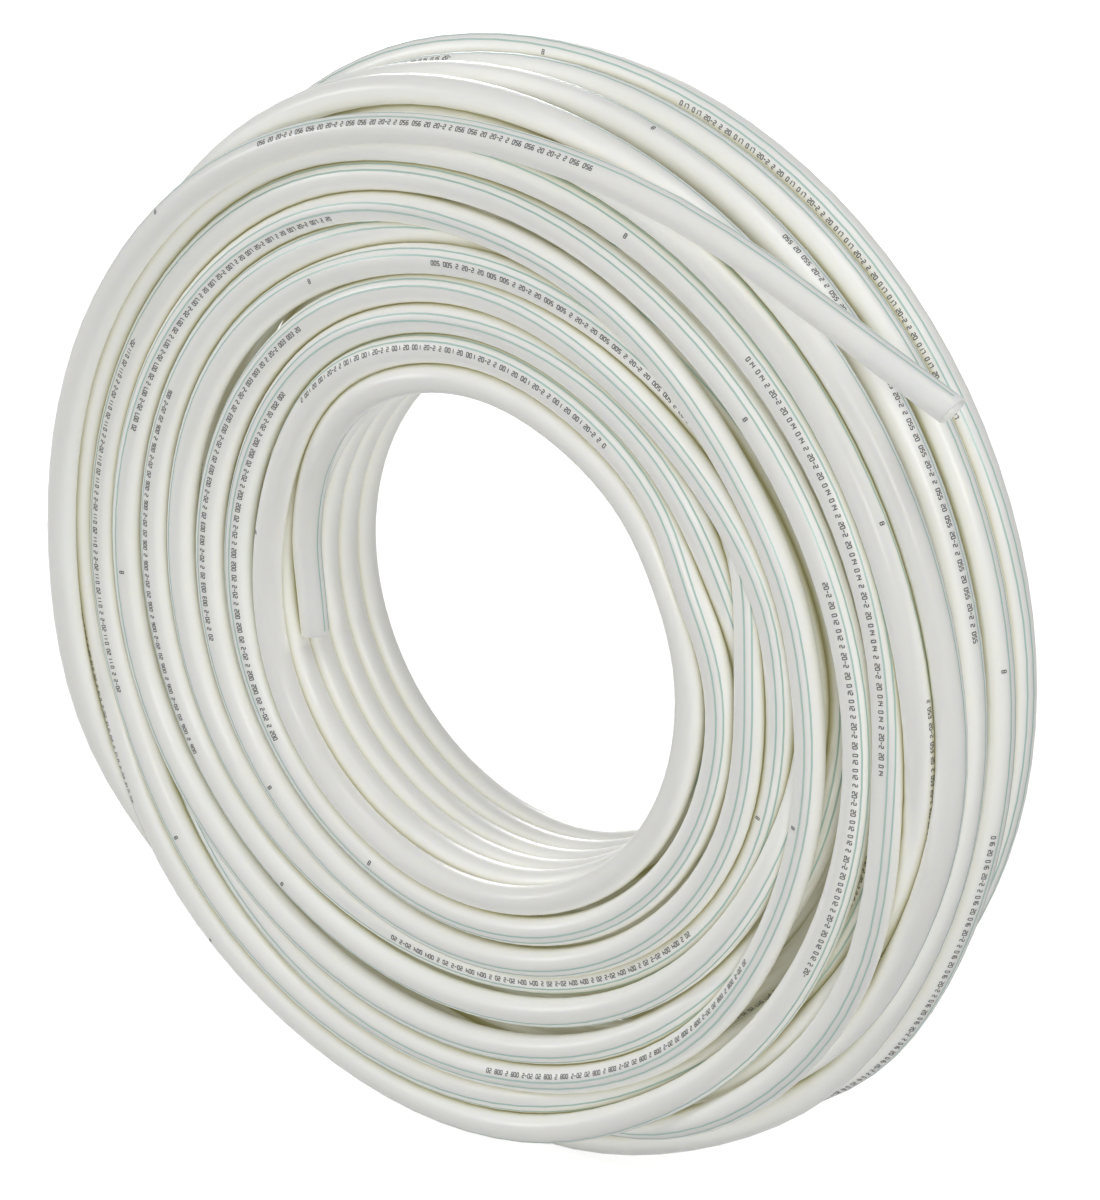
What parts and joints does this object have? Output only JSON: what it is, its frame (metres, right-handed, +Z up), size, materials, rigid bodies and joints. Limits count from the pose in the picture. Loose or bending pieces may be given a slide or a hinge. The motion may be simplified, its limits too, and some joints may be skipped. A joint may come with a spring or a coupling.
{
  "type": "pipe coil",
  "caption": "Coil of smooth translucent white plastic pipe, wound in many turns round an open middle and standing on its rim, with two bare cut ends.",
  "frame": {"origin": "on the floor, under the middle of the coil, in the middle of the flat that it stands on", "axes": "+Z up, +Y along the coil's axis towards its back face, so the front face looks to -Y; seen from the front +X is to the right, on the side of the free outer end"},
  "size_m": [0.7601, 0.1362, 0.7442],
  "materials": {
    "pipe": "soft gloss, translucent, with a thin double line along it",
    "inner_turns": "the same pipe in the shade between the outer turns"
  },
  "bodies": {
    "root": {"inner_end": "pipe", "front_turns": "pipe", "rim_turns": "pipe", "back_turns": "pipe", "bore_turns": "pipe", "core_turns": "inner_turns", "outer_tail": "pipe", "outer_end": "pipe"}
  },
  "joints": []
}
